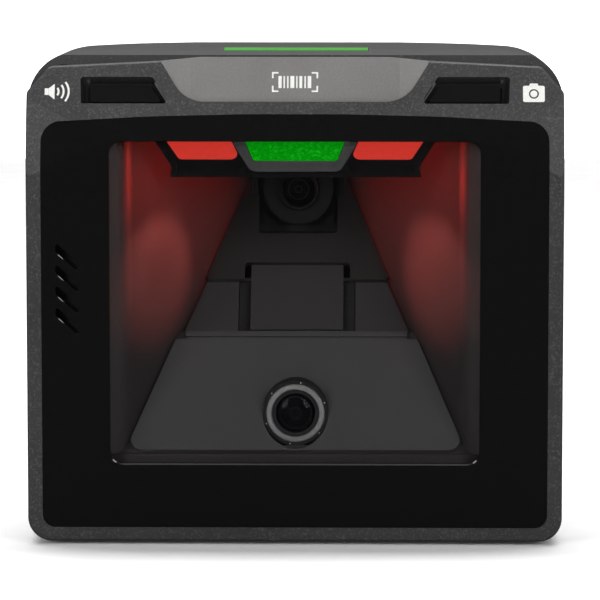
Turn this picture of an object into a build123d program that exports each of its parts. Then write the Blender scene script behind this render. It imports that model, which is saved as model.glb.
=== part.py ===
from build123d import *
from math import atan, cos, radians, sin, tan
import os

# Vertical presentation barcode scanner: a window-facing imager that stands on its base.
#
# Millimetres, +Z up, the front faces -Y, and the origin is on the resting plane under the
# middle of the body. The front is an upright face with a forehead that leans back above
# the window. Behind it a funnel-shaped shroud holds two cameras and the lamps.

# ---- overall envelope ---------------------------------------------------------------
HALF_W = 74.5                 # half width of the body
FRONT_Y = -40.0               # upright front face
REAR_Y = 40.0                 # rear face
BASE_Z = 1.0                  # underside of the body; the feet stand 1 mm proud of it
CROWN_Z = 138.2               # top of the rear housing
FAR = 200.0                   # reach of a cutting block, beyond every part
GAP = 0.15                    # assembly gap between two mouldings
TOUCH = 0.05                  # gap between two faces that only just meet

# ---- front face ---------------------------------------------------------------------
LEAN = radians(20.0)          # the forehead leans back from the kink
KINK_Z = 112.7
BEZEL_DEPTH = 5.0
PANEL_DEPTH = 3.0
FACET_X = 51.4                # two shallow facets fall away from the window's top corners
FACET_FALL_X = 0.0854
FACET_FALL_Z = 0.2
EDGE_ROUND = 0.9
PANEL_BEVEL = 0.35
BEZEL_SIDE = [(74.5, 1.0), (74.5, 126.1), (68.4, 133.1), (37.3, 134.6), (26.4, 135.6)]
BEZEL_ROUNDS = [6.6, 2.2, 2.6, 8.0, 16.0]
PANEL_SIDE = [(70.3, 5.0), (70.3, 117.9), (40.0, 119.5), (14.0, 120.1)]
PANEL_ROUNDS = [3.5, 5.6, 300.0, 300.0]
WINDOW_HALF_W, WINDOW_BOTTOM, WINDOW_TOP, WINDOW_ROUND = 51.4, 22.9, 112.7, 3.6

# ---- clear pane and its gasket ------------------------------------------------------
PANE_LAP = 2.1                # the pane laps behind the opening
PANE_THICK = 2.0
PANE_ROUND = 4.0
GASKET_THICK = 0.8
GASKET_LIP = 0.6              # the gasket's inner edge stands back from the opening

# ---- speaker slots in the gloss panel -----------------------------------------------
SLOT_LEFT, SLOT_RIGHT, SLOT_TOP = -66.3, -60.1, 84.6
SLOT_END, SLOT_FALL, SLOT_PITCH, SLOT_COUNT = 2.5, 5.5, 5.93, 4
SLOT_ROUNDS = [0.2, 0.4, 0.2, 0.4]
SLOT_BEVEL = 0.2

# ---- buttons in the forehead: x and height up the leaning face ----------------------
RECESS_MOUTH = [(-59.6, 18.8), (-59.3, 11.0), (-36.0, 11.0), (-35.5, 12.3), (-39.6, 18.8)]
RECESS_FLOOR = [(-58.2, 17.3), (-57.9, 11.05), (-36.2, 11.05), (-35.9, 12.3), (-39.1, 17.3)]
RECESS_ROUNDS = [0.8, 0.5, 0.4, 0.5, 0.8]
RECESS_DEPTH = 1.8
CAP_SIDE = [(-57.1, 16.2), (-56.9, 11.4), (-36.5, 11.4), (-39.8, 16.2)]
CAP_ROUNDS = [0.6, 0.6, 0.6, 0.9]
CAP_TOP, CAP_BACK = 0.35, 4.8           # depths below the forehead
CAP_SLIT = 0.25
CAP_BEVEL = 0.3
FLANGE_GROW, FLANGE_THICK = 0.9, 1.0
BUTTON_TRAVEL = 0.8
BUTTON_X, BUTTON_V = -47.0, 13.8
STEM_R, STEM_END = 2.0, 8.25
PLUNGER_R, PLUNGER_END = 1.2, 9.9
SWITCH_SIZE, SWITCH_FRONT = 6.0, 9.3
SWITCH_BORE_R, SWITCH_BORE_END = 1.35, 10.85
BOARD_FRONT, BOARD_BACK = 11.0, 12.2
BUTTON_BOARD = (-63.4, -30.9, 9.8, 19.4)
BUTTON_POSTS_X = (-61.1, -33.1)
BUTTON_POST_V, BUTTON_POST_R = 14.6, 1.75

# ---- badge plate in the forehead ----------------------------------------------------
BADGE_SIDE = [(30.34, 11.6), (41.0, 29.4)]
BADGE_ROUNDS = [9.4, 0.0]
BADGE_FLAT_X, BADGE_SINK, BADGE_THICK = 29.0, 1.2, 1.4
BADGE_FLUSH_X = 37.4

# ---- rear housing -------------------------------------------------------------------
WALL = 2.5
HOUSING_FRONT_VIEW = [(74.5, 1.0), (74.5, 136.2), (48.0, 137.7), (22.0, 138.3)]
HOUSING_FRONT_ROUNDS = [6.6, 13.5, 400.0, 400.0]
HOUSING_SIDE_VIEW = [(-60.0, -20.0), (-60.0, 130.4), (-14.0, 138.15), (27.0, 138.15),
                     (40.0, 62.0), (40.0, -20.0)]
HOUSING_SIDE_ROUNDS = [0.0, 0.0, 220.0, 9.0, 12.0, 0.0]
HOUSING_PLAN = [(74.5, -80.0), (74.5, -16.0), (55.0, 40.0)]
HOUSING_PLAN_ROUNDS = [0.0, 60.0, 18.0]
REVEAL = 0.7                  # groove round the joint with the bezel
FLOOR_RING_TOP = 5.0          # the housing's bottom ring carries the base plate
LIP_THICK, LIP_DEPTH = 1.3, 2.0

WELL_XZ = [(46.0, 15.0), (22.0, 121.0)]  # screw wells, and the bezel posts they meet
WELL_R, WELL_BORE_R, WELL_FRONT, WELL_SEAT = 4.5, 3.2, -20.0, -16.5
POST_R, POST_PILOT_R, POST_PILOT_Y = 3.6, 1.25, -31.0
LONG_SCREW_R, LONG_SCREW_HOLE_R, LONG_SCREW_TIP = 1.2, 1.6, -30.0
HEAD_R, HEAD_THICK = 2.7, 2.0
DRIVE_WIDE, DRIVE_DEEP = 0.45, 0.6      # hex drive as shares of the head's radius and height

VENT_COUNT, VENT_PITCH, VENT_W, VENT_Z0, VENT_Z1 = 9, 5.2, 1.8, 84.0, 106.0
LABEL = (-31.0, 31.0, 33.0, 58.0)        # blank rating-label recess in the rear
LABEL_SINK = 0.5
REAR_BAY = (-34.5, 34.5, 10.0, 29.5)      # shallow bay round the ports
REAR_BAY_SINK, REAR_BAY_ROUND = 1.0, 2.5

# ---- light bar on the crown ---------------------------------------------------------
BAR_HALF_W, BAR_Y0, BAR_Y1, BAR_PROUD = 20.3, -18.0, -12.0, 0.15
STEM_HALF_W, STEM_Y0, STEM_Y1, STEM_Z = 18.0, -16.4, -13.6, 129.2
BAR_LEDGE = 1.3
TOP_BOARD_HALF_W, TOP_BOARD_Y0, TOP_BOARD_Y1, TOP_BOARD_Z = 27.0, -19.5, -10.5, 126.0
TOP_POST_X, TOP_POST_Y, TOP_POST_R = 23.8, -15.0, 2.0

# ---- base ---------------------------------------------------------------------------
BASE_PLAN = [(64.0, -31.0), (64.0, -18.0), (47.5, 32.0)]
BASE_ROUNDS = [5.0, 30.0, 12.0]
BASE_THICK = 2.0
RING_LAP = 6.0
FOOT_XY = [(50.0, -20.0), (33.0, 24.0)]
FOOT_R, FOOT_SINK, FOOT_ROUND = 5.5, 1.2, 0.5
INSERT_XY = (25.0, 15.0)      # half spacings of the threaded stand inserts
INSERT_R, INSERT_BORE_R, INSERT_TOP = 3.0, 1.65, 8.5
INSERT_BOSS_R, INSERT_BOSS_TOP = 4.6, 9.3
BASE_SCREW_XY = [(60.5, -25.0), (43.5, 27.0)]
BASE_HEAD_R, BASE_HEAD_THICK, BASE_SHANK_R, BASE_SCREW_TOP = 2.5, 1.1, 1.2, 9.0
BASE_BOSS_R, BASE_BOSS_TOP = 3.2, 10.0

# ---- viewing funnel -----------------------------------------------------------------
FLOOR_SLOPE = atan(1.26)      # the funnel's floor rises steeply to the rear
FLOOR_Y, FLOOR_Z = -34.1, 26.0
MOUTH_Y = -34.2
FUNNEL_PLAN = [(52.0, -34.2), (46.9, -31.4), (35.4, -11.4), (14.3, 25.3)]
FUNNEL_ROUNDS = [0.0, 9.0, 0.0, 0.0]
FUNNEL_WALL = 2.0
FUNNEL_TOP, ROOF_THICK = 113.0, 1.5
FLANGE_BACK_Y, FLANGE_HALF_W, FLANGE_Z0 = -32.7, 55.5, 19.0
SILL_TOP, SILL_BACK_Y, SILL_HALF_W = 24.8, -32.2, 54.0
LEDGE, LEDGE_TOP, LEDGE_LOW, LEDGE_BOTTOM = 3.0, -1.7, -3.3, -5.0
TAB_Z, TAB_HALF_H = (36.0, 97.0), 4.5
TAB_X0, TAB_X1, TAB_Y0, TAB_Y1 = 46.3, 62.0, -29.0, -27.0
TAB_SCREW_X, TAB_POST_R, TAB_SCREW_R, TAB_SCREW_TIP = 59.0, 2.6, 1.0, -33.4
TAB_HEAD_R, TAB_HEAD_THICK = 2.1, 1.6
LAMP_SLOT = (-35.0, 35.0, -31.0, -16.0)

# floor panels, as half widths at distances up the slope
LOWER_S0, LOWER_S1, LOWER_W0, LOWER_W1 = 0.0, 36.5, 47.6, 34.5
MIDDLE_S0, MIDDLE_S1, MIDDLE_W0, MIDDLE_W1 = 40.0, 58.4, 32.0, 25.4
UPPER_S0, UPPER_S1, UPPER_W0, UPPER_W1 = 56.8, 86.5, 26.0, 16.3
PLATE = 1.6
PLATE_CORNER = 3.5
LAP_HALF_W, LAP_END, LAP_TOP, LAP_LOW = 31.6, 39.8, -0.95, -1.65      # stepped lap up to the middle plate
LAP_RIB = (37.7, 38.5, -0.3)            # low rib in the lap: from, to, and its top
MIDDLE_TOP, MIDDLE_BOTTOM = -1.75, -3.25
BLOCK_HALF_W, BLOCK_S1, BLOCK_TOP = 13.3, 60.0, -0.3
GROOVE_W, GROOVE_DEPTH, GROOVE_WALL = 3.5, 3.0, 1.0
TONGUE_S1, TONGUE_TOP = 62.4, -1.1      # tongue of the middle plate that fills the notch
NOTCH_HALF_W, NOTCH_S1, NOTCH_ROUND = 15.2, 62.6, 1.2
APERTURE_HALF_W, APERTURE_Z0, APERTURE_Z1, APERTURE_ROUND = 11.5, 83.0, 105.0, 0.7

# ---- scan camera at the back of the funnel ------------------------------------------
SCAN_Z = 95.0
TUNNEL_HALF_W, TUNNEL_WALL, TUNNEL_Z0, TUNNEL_Z1 = 13.4, 1.5, 80.6, 107.2
TUNNEL_FACE_Y, TUNNEL_BACK_Y = 21.5, 28.0
SCAN_BARREL_R, SCAN_BORE_R, SCAN_FRONT_Y, SCAN_BARREL_BACK = 6.1, 4.9, 20.4, 26.4
SCAN_MOUNT_R, SCAN_MOUNT_Y, SCAN_FLANGE_Y, SCAN_FLANGE_HALF = 10.2, 22.8, 26.6, 10.4
SCAN_BOARD_HALF_W, SCAN_BOARD_THICK = 13.0, 1.4
SCAN_BOARD_TOP = 105.6
SENSOR_HALF, SENSOR_THICK = 4.0, 0.8

# ---- lower camera -------------------------------------------------------------------
CAMERA_Z = 35.45
CAMERA_HOLE_R, HOLDER_R, HOLDER_BORE_R = 9.25, 9.15, 8.25
CAMERA_FRONT_Y = -27.6
RING_R, RING_BORE_R, RING_Y0, RING_Y1 = 8.2, 6.7, -28.0, -25.0
BARREL_R, BARREL_BORE_R, BARREL_Y0, BARREL_Y1 = 6.65, 5.6, -27.2, -14.0
LENS_CROWN, LENS_EDGE_Y, LENS_BACK_Y = 1.6, -25.4, -22.5
BRACKET_Y0, BRACKET_Y1, BRACKET_HALF_W, BRACKET_TOP = -12.0, -10.5, 15.0, 48.0
BRACKET_FOOT_Y, BRACKET_FOOT_THICK = 3.0, 1.5
CAMERA_BOARD_THICK, CAMERA_BOARD_HALF_W, CAMERA_BOARD_HALF_H = 1.4, 13.0, 11.0

# ---- lamp hood under the roof -------------------------------------------------------
HOOD_Y, HOOD_Z = -34.0, 113.0
HOOD_NORMAL = (0.0, -0.765, -0.644)
HOOD_FRONT_Y = -33.9
HOOD_TOP = 112.95
HOOD_DEEP, HOOD_WALL, HOOD_FACE = 12.0, 1.3, 1.6
HOOD_SIDE = [(35.3, -14.6), (34.5, -10.9), (38.9, -1.0), (39.4, 3.0)]
HOOD_ROUNDS = [0.4, 0.5, 0.0, 0.0]
LAMP_SIDE = [(36.9, 2.0), (32.4, -7.5), (15.6, -7.5), (16.3, -4.9), (18.6, 2.0)]
LAMP_ROUNDS = [0.0, 1.3, 2.0, 1.2, 0.0]
LAMP_PROUD, LAMP_THICK = 0.25, 1.9
TROUGH = [(14.0, -12.6), (33.4, -12.6), (33.4, -9.0), (15.4, -9.0)]
TROUGH_ROUNDS = [1.6, 0.5, 0.5, 1.0]
TROUGH_DEPTH = 0.8
SIGNAL_SIDE = [(12.4, -11.4), (18.4, 2.0)]
SIGNAL_ROUNDS = [2.6, 0.0]
SIGNAL_PROUD = 1.1
GREEN_SIDE = [(11.7, -7.6), (14.5, 2.0)]
GREEN_ROUNDS = [0.9, 0.0]
GREEN_SINK, GREEN_THICK = 0.35, 1.5
LEDGE_STRIP = [(-12.6, -14.3), (12.6, -14.3), (12.9, -12.2), (-12.9, -12.2)]
LEDGE_STRIP_PROUD = 0.5
LAMP_BOARD = (-38.0, 38.0, -32.0, -14.5)
LAMP_BOARD_THICK = 1.6
RED_LED_X, GREEN_LED_X = (19.5, 23.5, 27.5, 31.5), (-8.0, 0.0, 8.0)
LED_Y, LED_HALF, LED_TALL = -26.0, 1.4, 1.0

# ---- main board and ports -----------------------------------------------------------
MAIN_HALF_W, MAIN_Y0, MAIN_Y1, MAIN_Z0, MAIN_Z1 = 40.0, 22.0, 23.6, 7.0, 58.0
STANDOFF_X, STANDOFF_Z, STANDOFF_R = 36.2, (12.2, 54.0), 3.0
BOARD_SCREW_R, BOARD_SCREW_END, BOARD_HEAD_R, BOARD_HEAD_THICK = 1.1, 30.0, 2.3, 1.6
SHIELD = (-8.0, 26.0, 18.0, 22.0, 26.0, 52.0)
SHIELD_WALL = 0.3
PORT_FACE_Y = 38.6
JACK_Z0, JACK_Z1 = 13.0, 26.5
HOST_X0, HOST_X1, EAS_X0, EAS_X1 = -30.0, -14.0, 18.2, 32.2
JACK_SOCKET_HALF_W, JACK_SOCKET_Z0, JACK_SOCKET_Z1, JACK_SOCKET_Y = 5.9, 16.0, 24.2, 26.6
LATCH_HALF_W, LATCH_Z = 3.2, 14.2
USB = (-10.4, 4.4, 16.0, 23.4)
USB_WALL, USB_TONGUE = 0.4, 1.9
USB_SOCKET_Y = 27.0
POWER = (6.6, 15.8, 13.6, 24.4)
POWER_BORE_R, POWER_PIN_R = 2.85, 1.0
PORT_HOLE_GAP = 0.3

# ---- loudspeaker --------------------------------------------------------------------
SPEAKER = (-70.5, -56.6, 53.0, 90.0)
SPEAKER_APERTURE = (-68.3, -58.6, 56.4, 86.4)
CLOTH_Y, FOAM_Y, SPEAKER_Y, CONE_Y, SPEAKER_BACK_Y = -35.0, -34.8, -33.6, -32.4, -27.0
SPEAKER_RIM = 1.4
MAGNET_R, MAGNET_BACK_Y = 5.2, -23.4

# ---- ribbon cables ------------------------------------------------------------------
RIBBON = 0.3
RIBBON_BEND = 3.0
IMAGER_RIBBON = [(29.6, 92.0), (29.6, 70.0), (23.9, 60.0), (23.9, 50.0)]
CAMERA_RIBBON = [(-8.8, 44.0), (-8.8, 33.0), (-2.0, 27.0), (15.0, 27.0), (21.7, 33.0), (21.7, 42.0)]
LAMP_RIBBON = [(-17.0, 116.4), (17.0, 116.4), (17.0, 62.0), (21.7, 53.0), (21.7, 44.0)]


# ---- small tools --------------------------------------------------------------------
def rounded(points, radii):
    """Closed face through the points, with each corner rounded by its radius."""
    return make_face(FilletPolyline(*points, radius=radii, close=True))


def cornered(points):
    """Closed face through the points, with sharp corners."""
    return make_face(Polyline(*points, close=True))


def symmetric(right_side, radii):
    """Closed face from the points of its right half, bottom to top."""
    left_side = [(-x, y) for x, y in reversed(right_side)]
    return rounded(right_side + left_side, radii + radii[::-1])


def flipped(points):
    """The same outline on the other side of the middle plane."""
    return [(-x, y) for x, y in reversed(points)]


def slab(x0, x1, y0, y1, z0, z1):
    return Pos((x0 + x1) / 2, (y0 + y1) / 2, (z0 + z1) / 2) * Box(x1 - x0, y1 - y0, z1 - z0)


def upright(face, y0, y1):
    """Extrude a front-view face (x, z) from y0 back to y1."""
    return extrude(Plane.XZ.offset(-y1) * face, y1 - y0)


def plan(face, z0, z1):
    """Extrude a plan-view face (x, y) from z0 up to z1."""
    return extrude(Plane.XY.offset(z0) * face, z1 - z0)


def side(face, x0, x1):
    """Extrude a side-view face (y, z) from x0 to x1."""
    return extrude(Plane.YZ.offset(x0) * face, x1 - x0)


def rod_y(x, z, radius, y0, y1):
    return upright(Pos(x, z) * Circle(radius), y0, y1)


def rod_z(x, y, radius, z0, z1):
    return plan(Pos(x, y) * Circle(radius), z0, z1)


def panel(width_low, width_high, s0, s1):
    """Trapezium face between two distances up a slope."""
    return [(-width_low, s0), (width_low, s0), (width_high, s1), (-width_high, s1)]


def plane_along(origin, normal):
    return Plane(origin=origin, x_dir=(1, 0, 0), z_dir=normal)


def forehead(depth):
    """Plane of the leaning face, sunk by a depth; y runs up the slope from the kink."""
    inward = Vector(0, cos(LEAN), -sin(LEAN))
    return plane_along(Vector(0, FRONT_Y, KINK_Z) + inward * depth, inward * -1)


def on_forehead(face, near, far):
    """Extrude a face drawn on the leaning plane between two depths below it."""
    return extrude(forehead(far) * face, far - near)


def funnel_floor(offset_up):
    """Plane of the funnel's floor, raised by an offset; y runs up the slope."""
    up = Vector(0, -sin(FLOOR_SLOPE), cos(FLOOR_SLOPE))
    return plane_along(Vector(0, FLOOR_Y, FLOOR_Z) + up * offset_up, up)


def on_floor(face, low, high):
    return extrude(funnel_floor(low) * face, high - low)


def above_floor(offset_up):
    """Everything on the viewer's side of a plane parallel to the funnel's floor."""
    block = Box(FAR * 2, FAR * 4, FAR, align=(Align.CENTER, Align.CENTER, Align.MIN))
    return funnel_floor(offset_up) * block


def hood_plane(depth):
    """Plane of the lamp hood's face, sunk by a depth; y runs up and forwards."""
    inward = Vector(*HOOD_NORMAL) * -1
    return plane_along(Vector(0, HOOD_Y, HOOD_Z) + inward * depth, HOOD_NORMAL)


def on_hood(face, near, far):
    return extrude(hood_plane(far) * face, far - near)


def front_layer(near, far):
    """Slab that follows the front, between two depths behind it measured along Y."""
    run = FAR * tan(LEAN)
    front = [(FRONT_Y, -FAR), (FRONT_Y, KINK_Z), (FRONT_Y + run, KINK_Z + FAR)]
    face = cornered([(y + near, z) for y, z in front] + [(y + far, z) for y, z in reversed(front)])
    return side(face, -FAR, FAR)


def cut_facets(solid):
    """Take the shallow facets off both sides of the front."""
    for hand in (-1, 1):
        corner = (hand * FACET_X, FRONT_Y, KINK_Z)
        facet = Plane(origin=corner, z_dir=(hand * FACET_FALL_X, -1, FACET_FALL_Z))
        solid -= facet * Box(FAR, FAR, FAR, align=(Align.CENTER, Align.CENTER, Align.MIN))
    return solid


def outline_edges(solid):
    """The outer edges of a slab's front, without the creases inside it."""
    fronts = [face for face in solid.faces() if face.normal_at().Y < -0.5]
    return [edge for edge in solid.edges() if sum(edge in face.edges() for face in fronts) == 1]


def both_hands(points):
    """Every mirrored pair of places from those on the right."""
    return [(hand * x, y) for x, y in points for hand in (-1, 1)]


def screw_y(x, z, head_y, head_thick, head_r, tip_y, shank_r):
    """Screw along Y whose head starts at head_y and whose shank ends at tip_y."""
    head_end = head_y + head_thick
    drive_depth = DRIVE_DEEP * head_thick
    drive_y = head_y if tip_y > head_y else head_end - drive_depth
    drive = upright(Pos(x, z) * RegularPolygon(DRIVE_WIDE * head_r, 6), drive_y, drive_y + drive_depth)
    shank = rod_y(x, z, shank_r, *sorted((head_y, tip_y)))
    return rod_y(x, z, head_r, head_y, head_end) + shank - drive


# ---- front mouldings ----------------------------------------------------------------
def bezel_face():
    return symmetric(BEZEL_SIDE, BEZEL_ROUNDS)


def slot_face(number, grow=0.0):
    left, right = SLOT_LEFT - grow, SLOT_RIGHT + grow
    top = SLOT_TOP - number * SLOT_PITCH + grow
    end = SLOT_END + 2 * grow
    low = top - SLOT_FALL
    return rounded([(left, top - end), (left, top), (right, low), (right, low - end)], SLOT_ROUNDS)


def window_face():
    middle = (WINDOW_BOTTOM + WINDOW_TOP) / 2
    height = WINDOW_TOP - WINDOW_BOTTOM
    return Pos(0, middle) * RectangleRounded(2 * WINDOW_HALF_W, height, WINDOW_ROUND)


def pane_face(grow=0.0):
    middle = (WINDOW_BOTTOM + WINDOW_TOP) / 2 - PANE_LAP / 4
    height = WINDOW_TOP - WINDOW_BOTTOM + 1.5 * PANE_LAP + 2 * grow
    return Pos(0, middle) * RectangleRounded(2 * (WINDOW_HALF_W + PANE_LAP + grow), height, PANE_ROUND)


def badge_layer(top_lift, bottom):
    """Section across the forehead that is sunk in the middle and flush at its ends."""
    slope = BADGE_SINK / (BADGE_FLUSH_X - BADGE_FLAT_X)
    end_x = HALF_W
    end_depth = BADGE_SINK - slope * (end_x - BADGE_FLAT_X)
    line = [(-end_x, end_depth), (-BADGE_FLAT_X, BADGE_SINK), (BADGE_FLAT_X, BADGE_SINK), (end_x, end_depth)]
    upper = [(x, depth - top_lift) for x, depth in line]
    lower = [(x, depth + bottom) for x, depth in reversed(line)]
    up_slope = plane_along((0, FRONT_Y, KINK_Z), (0, sin(LEAN), cos(LEAN)))
    return extrude(up_slope.offset(-FAR) * cornered(upper + lower), 2 * FAR)


def badge_plate():
    plate = on_forehead(symmetric(BADGE_SIDE, BADGE_ROUNDS), -BEZEL_DEPTH, BEZEL_DEPTH)
    return plate & badge_layer(0.0, BADGE_THICK) & upright(bezel_face(), -FAR, FAR)


def button_recess(points_mouth, points_floor, rounds):
    """Bevelled pocket that narrows from its mouth to its floor."""
    mouth = forehead(-TOUCH) * rounded(points_mouth, rounds)
    floor = forehead(RECESS_DEPTH) * rounded(points_floor, rounds)
    return loft([mouth, floor], ruled=True)


def front_bezel():
    bezel = upright(bezel_face(), -FAR, FAR) & front_layer(0, BEZEL_DEPTH)
    bezel = cut_facets(fillet(outline_edges(bezel), EDGE_ROUND))
    panel_pocket = upright(offset(symmetric(PANEL_SIDE, PANEL_ROUNDS), TOUCH), -FAR, FAR)
    bezel -= panel_pocket & front_layer(-BEZEL_DEPTH, PANEL_DEPTH)
    bezel -= upright(pane_face(GAP), FRONT_Y, 0)
    plate_pocket = on_forehead(offset(symmetric(BADGE_SIDE, BADGE_ROUNDS), TOUCH), -BEZEL_DEPTH, BEZEL_DEPTH)
    bezel -= plate_pocket & badge_layer(BEZEL_DEPTH, BADGE_THICK)
    for number in range(SLOT_COUNT):
        bezel -= upright(slot_face(number, GAP), FRONT_Y, 0)
    for mouth, floor, cap, radii, cap_radii in (
            (RECESS_MOUTH, RECESS_FLOOR, CAP_SIDE, RECESS_ROUNDS, CAP_ROUNDS),
            (flipped(RECESS_MOUTH), flipped(RECESS_FLOOR), flipped(CAP_SIDE),
             RECESS_ROUNDS[::-1], CAP_ROUNDS[::-1])):
        bezel -= button_recess(mouth, floor, radii)
        bezel -= on_forehead(offset(rounded(cap, cap_radii), CAP_SLIT), 0, 2 * BEZEL_DEPTH)
    for x, z in both_hands(WELL_XZ):
        post = rod_y(x, z, POST_R, FRONT_Y, WELL_FRONT) - front_layer(-FAR, BEZEL_DEPTH)
        bezel += post
        bezel -= rod_y(x, z, POST_PILOT_R, POST_PILOT_Y, WELL_FRONT)
    for x, z in both_hands([(TAB_SCREW_X, z) for z in TAB_Z]):
        bezel += rod_y(x, z, TAB_POST_R, FRONT_Y + BEZEL_DEPTH, TAB_Y0)
        bezel -= rod_y(x, z, TAB_SCREW_R, TAB_SCREW_TIP, TAB_Y0)
    for x, v in both_hands([(x, BUTTON_POST_V) for x in BUTTON_POSTS_X]):
        wall_back = BEZEL_DEPTH * cos(LEAN)
        bezel += on_forehead(Pos(x, v) * Circle(BUTTON_POST_R), wall_back, BOARD_FRONT)
        bezel -= on_forehead(Pos(x, v) * Circle(BUTTON_POST_R / 2), wall_back + 1, BOARD_FRONT)
    return bezel + locating_lip()


def locating_lip():
    """Rim on the back of the bezel that centres the rear housing."""
    outer = offset(bezel_face(), -(WALL + GAP))
    inner = offset(bezel_face(), -(WALL + GAP + LIP_THICK))
    ring = upright(outer - inner, -FAR, FAR) & front_layer(BEZEL_DEPTH, BEZEL_DEPTH + LIP_DEPTH)
    return ring - slab(-FAR, FAR, -FAR, FAR, -FAR, FLOOR_RING_TOP + GAP)


def gloss_panel():
    sheet = upright(symmetric(PANEL_SIDE, PANEL_ROUNDS), -FAR, FAR) & front_layer(0, PANEL_DEPTH)
    sheet = cut_facets(sheet) - upright(window_face(), -FAR, FAR)
    face_plane = Plane.XZ.offset(-FRONT_Y)
    rim = [face_plane * offset(window_face(), PANEL_BEVEL), face_plane.offset(-PANEL_BEVEL) * window_face()]
    sheet -= loft(rim, ruled=True)
    sheet -= slab(-FAR, FAR, FRONT_Y + PANEL_DEPTH, FAR, 0, WINDOW_TOP + PANE_LAP)
    for number in range(SLOT_COUNT):
        mouth = face_plane * slot_face(number, SLOT_BEVEL)
        sheet -= loft([mouth, face_plane.offset(-SLOT_BEVEL) * slot_face(number)], ruled=True)
        sheet -= upright(slot_face(number), -FAR, FAR)
    return sheet


def exit_window():
    front = FRONT_Y + PANEL_DEPTH
    return upright(pane_face(), front, front + PANE_THICK)


def window_gasket():
    front = FRONT_Y + PANEL_DEPTH + PANE_THICK
    height = WINDOW_TOP - WINDOW_BOTTOM + 2 * GASKET_LIP
    middle = (WINDOW_BOTTOM + WINDOW_TOP) / 2
    hole = Pos(0, middle) * RectangleRounded(2 * (WINDOW_HALF_W + GASKET_LIP), height, WINDOW_ROUND)
    return upright(pane_face() - hole, front, front + GASKET_THICK)


# ---- rear housing -------------------------------------------------------------------
def housing_form(inset):
    """Body of the housing from its front, side and plan views, all shrunk by an inset."""
    front_view = symmetric(HOUSING_FRONT_VIEW, HOUSING_FRONT_ROUNDS)
    side_view = rounded(HOUSING_SIDE_VIEW, HOUSING_SIDE_ROUNDS)
    plan_view = symmetric(HOUSING_PLAN, HOUSING_PLAN_ROUNDS)
    if inset:
        views = (front_view, side_view, plan_view)
        front_view, side_view, plan_view = (offset(view, -inset) for view in views)
    return upright(front_view, -FAR, FAR) & side(side_view, -FAR, FAR) & plan(plan_view, -FAR, FAR)


def base_face(grow=0.0):
    face = symmetric(BASE_PLAN, BASE_ROUNDS)
    return offset(face, grow) if grow else face


def rear_housing():
    outer = housing_form(0.0)
    hollow = housing_form(WALL) & slab(-FAR, FAR, -FAR, FAR, FLOOR_RING_TOP, FAR)
    shell = outer - hollow
    for x, z in both_hands(WELL_XZ):
        shell += rod_y(x, z, WELL_R, WELL_FRONT, REAR_Y) & outer
    for x, z in both_hands([(STANDOFF_X, z) for z in STANDOFF_Z]):
        shell += rod_y(x, z, STANDOFF_R, MAIN_Y1, REAR_Y) & outer
    for x, y in both_hands([(TOP_POST_X, TOP_POST_Y)]):
        shell += rod_z(x, y, TOP_POST_R, TOP_BOARD_Z + PLATE, CROWN_Z) & outer
    for x, y in both_hands(BASE_SCREW_XY):
        shell += rod_z(x, y, BASE_BOSS_R, BASE_Z, BASE_BOSS_TOP) & outer
    shell -= front_layer(-FAR, BEZEL_DEPTH)
    seam = front_layer(-FAR, BEZEL_DEPTH + REVEAL) - upright(offset(bezel_face(), -REVEAL), -FAR, FAR)
    shell -= seam
    shell -= plan(base_face(GAP), -FAR, BASE_Z + BASE_THICK)
    shell -= plan(base_face(-RING_LAP), -FAR, FLOOR_RING_TOP) - bosses_at(BASE_SCREW_XY, BASE_BOSS_R)
    for x, z in both_hands(WELL_XZ):
        shell -= rod_y(x, z, WELL_BORE_R, WELL_SEAT, REAR_Y)
        shell -= rod_y(x, z, LONG_SCREW_HOLE_R, WELL_FRONT, WELL_SEAT)
    for x, z in both_hands([(STANDOFF_X, z) for z in STANDOFF_Z]):
        shell -= rod_y(x, z, BOARD_SCREW_R, MAIN_Y1, BOARD_SCREW_END)
    for x, y in both_hands(BASE_SCREW_XY):
        shell -= rod_z(x, y, BASE_SHANK_R, BASE_Z, BASE_SCREW_TOP)
    return cut_rear_details(shell) - light_bar_seat()


def bosses_at(places, radius):
    """Columns through the bottom ring at screw places."""
    columns = [rod_z(x, y, radius, -FAR, FAR) for x, y in both_hands(places)]
    return columns[0] + columns[1:]


def cut_rear_details(shell):
    """Port bay and holes, blank label recess and ventilation slots."""
    x0, x1, z0, z1 = REAR_BAY
    bay = Pos((x0 + x1) / 2, (z0 + z1) / 2) * RectangleRounded(x1 - x0, z1 - z0, REAR_BAY_ROUND)
    shell -= upright(bay, REAR_Y - REAR_BAY_SINK, FAR)
    for x0, x1, z0, z1 in (port_box(HOST_X0, HOST_X1), port_box(EAS_X0, EAS_X1), USB, POWER):
        gap = PORT_HOLE_GAP
        shell -= slab(x0 - gap, x1 + gap, MAIN_Y1, FAR, z0 - gap, z1 + gap)
    x0, x1, z0, z1 = LABEL
    label = Pos((x0 + x1) / 2, (z0 + z1) / 2) * RectangleRounded(x1 - x0, z1 - z0, REAR_BAY_ROUND)
    shell -= upright(label, REAR_Y - LABEL_SINK, FAR)
    for number in range(VENT_COUNT):
        x = (number - (VENT_COUNT - 1) / 2) * VENT_PITCH
        vent = Pos(x, (VENT_Z0 + VENT_Z1) / 2) * SlotOverall(VENT_Z1 - VENT_Z0, VENT_W, rotation=90)
        shell -= upright(vent, MAIN_Y1, FAR)
    return shell


def port_box(x0, x1):
    return x0, x1, JACK_Z0, JACK_Z1


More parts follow.
